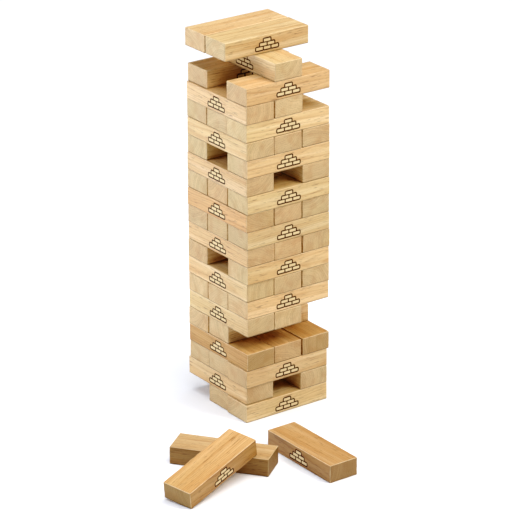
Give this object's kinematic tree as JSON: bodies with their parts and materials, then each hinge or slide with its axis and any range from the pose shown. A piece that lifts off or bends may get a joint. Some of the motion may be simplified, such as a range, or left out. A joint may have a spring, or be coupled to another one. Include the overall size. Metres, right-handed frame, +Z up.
{
  "type": "tumbling tower game",
  "caption": "Tall crosswise stack of rounded hardwood blocks in mid-game, with gaps where blocks were drawn out and loose blocks lying beside it.",
  "frame": {"origin": "on the floor at the middle of the tower's base, on the underside of the bottom level's middle block", "axes": "+Z up; +X along the blocks of the odd levels, whose long sides face -Y; +Y along the blocks of the even levels, whose long sides face -X"},
  "size_m": [0.506, 0.4886, 0.735],
  "materials": {
    "hardwood": "sanded, thin clear coat"
  },
  "bodies": {
    "level_01_front": {"level_01_front": "hardwood"},
    "level_01_middle": {"level_01_middle": "hardwood"},
    "level_02_left": {"level_02_left": "hardwood"},
    "level_02_right": {"level_02_right": "hardwood"},
    "level_03_front": {"level_03_front": "hardwood"},
    "level_03_middle": {"level_03_middle": "hardwood"},
    "level_03_back": {"level_03_back": "hardwood"},
    "level_04_left": {"level_04_left": "hardwood"},
    "level_04_middle": {"level_04_middle": "hardwood"},
    "level_04_right": {"level_04_right": "hardwood"},
    "level_05_middle": {"level_05_middle": "hardwood"},
    "level_05_back": {"level_05_back": "hardwood"},
    "level_06_left": {"level_06_left": "hardwood"},
    "level_06_middle": {"level_06_middle": "hardwood"},
    "level_07_front": {"level_07_front": "hardwood"},
    "level_07_middle": {"level_07_middle": "hardwood"},
    "level_07_back": {"level_07_back": "hardwood"},
    "level_08_left": {"level_08_left": "hardwood"},
    "level_08_middle": {"level_08_middle": "hardwood"},
    "level_08_right": {"level_08_right": "hardwood"},
    "level_09_front": {"level_09_front": "hardwood"},
    "level_09_back": {"level_09_back": "hardwood"},
    "level_10_left": {"level_10_left": "hardwood"},
    "level_10_middle": {"level_10_middle": "hardwood"},
    "level_10_right": {"level_10_right": "hardwood"},
    "level_11_front": {"level_11_front": "hardwood"},
    "level_11_middle": {"level_11_middle": "hardwood"},
    "level_11_back": {"level_11_back": "hardwood"},
    "level_12_left": {"level_12_left": "hardwood"},
    "level_12_middle": {"level_12_middle": "hardwood"},
    "level_12_right": {"level_12_right": "hardwood"},
    "level_13_front": {"level_13_front": "hardwood"},
    "level_13_middle": {"level_13_middle": "hardwood"},
    "level_13_back": {"level_13_back": "hardwood"},
    "level_14_left": {"level_14_left": "hardwood"},
    "level_14_right": {"level_14_right": "hardwood"},
    "level_15_front": {"level_15_front": "hardwood"},
    "level_15_back": {"level_15_back": "hardwood"},
    "level_16_left": {"level_16_left": "hardwood"},
    "level_16_middle": {"level_16_middle": "hardwood"},
    "level_16_right": {"level_16_right": "hardwood"},
    "level_17_front": {"level_17_front": "hardwood"},
    "level_17_middle": {"level_17_middle": "hardwood"},
    "level_17_back": {"level_17_back": "hardwood"},
    "level_18_left": {"level_18_left": "hardwood"},
    "level_18_middle": {"level_18_middle": "hardwood"},
    "level_19_front": {"level_19_front": "hardwood"},
    "level_19_back": {"level_19_back": "hardwood"},
    "level_20_middle": {"level_20_middle": "hardwood"},
    "level_21_middle": {"level_21_middle": "hardwood"},
    "level_21_back": {"level_21_back": "hardwood"},
    "loose_block_under": {"loose_block_under": "hardwood"},
    "loose_block_leaning": {"loose_block_leaning": "hardwood"},
    "loose_block_right": {"loose_block_right": "hardwood"}
  },
  "joints": [
    {"name": "level_01_front_slide", "type": "slide", "parent": "level_01_middle", "child": "level_01_front", "axis": [1, 0, 0], "range_m": [-0.195, 0.195]},
    {"name": "level_02_left_slide", "type": "slide", "parent": "level_01_middle", "child": "level_02_left", "axis": [0, 1, 0], "range_m": [-0.195, 0.195]},
    {"name": "level_02_right_slide", "type": "slide", "parent": "level_01_middle", "child": "level_02_right", "axis": [0, 1, 0], "range_m": [-0.195, 0.195]},
    {"name": "level_03_front_slide", "type": "slide", "parent": "level_01_middle", "child": "level_03_front", "axis": [1, 0, 0], "range_m": [-0.195, 0.195]},
    {"name": "level_03_middle_slide", "type": "slide", "parent": "level_01_middle", "child": "level_03_middle", "axis": [1, 0, 0], "range_m": [-0.195, 0.195]},
    {"name": "level_03_back_slide", "type": "slide", "parent": "level_01_middle", "child": "level_03_back", "axis": [1, 0, 0], "range_m": [-0.195, 0.195]},
    {"name": "level_04_left_slide", "type": "slide", "parent": "level_01_middle", "child": "level_04_left", "axis": [0, 1, 0], "range_m": [-0.195, 0.195]},
    {"name": "level_04_middle_slide", "type": "slide", "parent": "level_01_middle", "child": "level_04_middle", "axis": [0, 1, 0], "range_m": [-0.195, 0.195]},
    {"name": "level_04_right_slide", "type": "slide", "parent": "level_01_middle", "child": "level_04_right", "axis": [0, 1, 0], "range_m": [-0.195, 0.195]},
    {"name": "level_05_middle_slide", "type": "slide", "parent": "level_01_middle", "child": "level_05_middle", "axis": [1, 0, 0], "range_m": [-0.195, 0.195]},
    {"name": "level_05_back_slide", "type": "slide", "parent": "level_01_middle", "child": "level_05_back", "axis": [1, 0, 0], "range_m": [-0.195, 0.195]},
    {"name": "level_06_left_slide", "type": "slide", "parent": "level_01_middle", "child": "level_06_left", "axis": [0, 1, 0], "range_m": [-0.195, 0.195]},
    {"name": "level_06_middle_slide", "type": "slide", "parent": "level_01_middle", "child": "level_06_middle", "axis": [0, 1, 0], "range_m": [-0.195, 0.195]},
    {"name": "level_07_front_slide", "type": "slide", "parent": "level_01_middle", "child": "level_07_front", "axis": [1, 0, 0], "range_m": [-0.195, 0.195]},
    {"name": "level_07_middle_slide", "type": "slide", "parent": "level_01_middle", "child": "level_07_middle", "axis": [1, 0, 0], "range_m": [-0.195, 0.195]},
    {"name": "level_07_back_slide", "type": "slide", "parent": "level_01_middle", "child": "level_07_back", "axis": [1, 0, 0], "range_m": [-0.195, 0.195]},
    {"name": "level_08_left_slide", "type": "slide", "parent": "level_01_middle", "child": "level_08_left", "axis": [0, 1, 0], "range_m": [-0.195, 0.195]},
    {"name": "level_08_middle_slide", "type": "slide", "parent": "level_01_middle", "child": "level_08_middle", "axis": [0, 1, 0], "range_m": [-0.195, 0.195]},
    {"name": "level_08_right_slide", "type": "slide", "parent": "level_01_middle", "child": "level_08_right", "axis": [0, 1, 0], "range_m": [-0.195, 0.195]},
    {"name": "level_09_front_slide", "type": "slide", "parent": "level_01_middle", "child": "level_09_front", "axis": [1, 0, 0], "range_m": [-0.195, 0.195]},
    {"name": "level_09_back_slide", "type": "slide", "parent": "level_01_middle", "child": "level_09_back", "axis": [1, 0, 0], "range_m": [-0.195, 0.195]},
    {"name": "level_10_left_slide", "type": "slide", "parent": "level_01_middle", "child": "level_10_left", "axis": [0, 1, 0], "range_m": [-0.195, 0.195]},
    {"name": "level_10_middle_slide", "type": "slide", "parent": "level_01_middle", "child": "level_10_middle", "axis": [0, 1, 0], "range_m": [-0.195, 0.195]},
    {"name": "level_10_right_slide", "type": "slide", "parent": "level_01_middle", "child": "level_10_right", "axis": [0, 1, 0], "range_m": [-0.195, 0.195]},
    {"name": "level_11_front_slide", "type": "slide", "parent": "level_01_middle", "child": "level_11_front", "axis": [1, 0, 0], "range_m": [-0.195, 0.195]},
    {"name": "level_11_middle_slide", "type": "slide", "parent": "level_01_middle", "child": "level_11_middle", "axis": [1, 0, 0], "range_m": [-0.195, 0.195]},
    {"name": "level_11_back_slide", "type": "slide", "parent": "level_01_middle", "child": "level_11_back", "axis": [1, 0, 0], "range_m": [-0.195, 0.195]},
    {"name": "level_12_left_slide", "type": "slide", "parent": "level_01_middle", "child": "level_12_left", "axis": [0, 1, 0], "range_m": [-0.195, 0.195]},
    {"name": "level_12_middle_slide", "type": "slide", "parent": "level_01_middle", "child": "level_12_middle", "axis": [0, 1, 0], "range_m": [-0.195, 0.195]},
    {"name": "level_12_right_slide", "type": "slide", "parent": "level_01_middle", "child": "level_12_right", "axis": [0, 1, 0], "range_m": [-0.195, 0.195]},
    {"name": "level_13_front_slide", "type": "slide", "parent": "level_01_middle", "child": "level_13_front", "axis": [1, 0, 0], "range_m": [-0.195, 0.195]},
    {"name": "level_13_middle_slide", "type": "slide", "parent": "level_01_middle", "child": "level_13_middle", "axis": [1, 0, 0], "range_m": [-0.195, 0.195]},
    {"name": "level_13_back_slide", "type": "slide", "parent": "level_01_middle", "child": "level_13_back", "axis": [1, 0, 0], "range_m": [-0.195, 0.195]},
    {"name": "level_14_left_slide", "type": "slide", "parent": "level_01_middle", "child": "level_14_left", "axis": [0, 1, 0], "range_m": [-0.195, 0.195]},
    {"name": "level_14_right_slide", "type": "slide", "parent": "level_01_middle", "child": "level_14_right", "axis": [0, 1, 0], "range_m": [-0.195, 0.195]},
    {"name": "level_15_front_slide", "type": "slide", "parent": "level_01_middle", "child": "level_15_front", "axis": [1, 0, 0], "range_m": [-0.195, 0.195]},
    {"name": "level_15_back_slide", "type": "slide", "parent": "level_01_middle", "child": "level_15_back", "axis": [1, 0, 0], "range_m": [-0.195, 0.195]},
    {"name": "level_16_left_slide", "type": "slide", "parent": "level_01_middle", "child": "level_16_left", "axis": [0, 1, 0], "range_m": [-0.195, 0.195]},
    {"name": "level_16_middle_slide", "type": "slide", "parent": "level_01_middle", "child": "level_16_middle", "axis": [0, 1, 0], "range_m": [-0.195, 0.195]},
    {"name": "level_16_right_slide", "type": "slide", "parent": "level_01_middle", "child": "level_16_right", "axis": [0, 1, 0], "range_m": [-0.195, 0.195]},
    {"name": "level_17_front_slide", "type": "slide", "parent": "level_01_middle", "child": "level_17_front", "axis": [1, 0, 0], "range_m": [-0.195, 0.195]},
    {"name": "level_17_middle_slide", "type": "slide", "parent": "level_01_middle", "child": "level_17_middle", "axis": [1, 0, 0], "range_m": [-0.195, 0.195]},
    {"name": "level_17_back_slide", "type": "slide", "parent": "level_01_middle", "child": "level_17_back", "axis": [1, 0, 0], "range_m": [-0.195, 0.195]},
    {"name": "level_18_left_slide", "type": "slide", "parent": "level_01_middle", "child": "level_18_left", "axis": [0, 1, 0], "range_m": [-0.195, 0.195]},
    {"name": "level_18_middle_slide", "type": "slide", "parent": "level_01_middle", "child": "level_18_middle", "axis": [0, 1, 0], "range_m": [-0.195, 0.195]},
    {"name": "level_19_front_slide", "type": "slide", "parent": "level_01_middle", "child": "level_19_front", "axis": [1, 0, 0], "range_m": [-0.195, 0.195]},
    {"name": "level_19_back_slide", "type": "slide", "parent": "level_01_middle", "child": "level_19_back", "axis": [1, 0, 0], "range_m": [-0.195, 0.195]},
    {"name": "level_20_middle_slide", "type": "slide", "parent": "level_01_middle", "child": "level_20_middle", "axis": [0, 1, 0], "range_m": [-0.195, 0.195]},
    {"name": "level_21_middle_lift", "type": "slide", "parent": "level_01_middle", "child": "level_21_middle", "axis": [0, 0, 1], "range_m": [0, 0.25]},
    {"name": "level_21_back_lift", "type": "slide", "parent": "level_01_middle", "child": "level_21_back", "axis": [0, 0, 1], "range_m": [0, 0.25]},
    {"name": "loose_block_under_lift", "type": "slide", "parent": "level_01_middle", "child": "loose_block_under", "axis": [0, 0, 1], "range_m": [0, 0.25]},
    {"name": "loose_block_leaning_lift", "type": "slide", "parent": "loose_block_under", "child": "loose_block_leaning", "axis": [0, 0, 1], "range_m": [0, 0.25]},
    {"name": "loose_block_right_lift", "type": "slide", "parent": "level_01_middle", "child": "loose_block_right", "axis": [0, 0, 1], "range_m": [0, 0.25]}
  ]
}
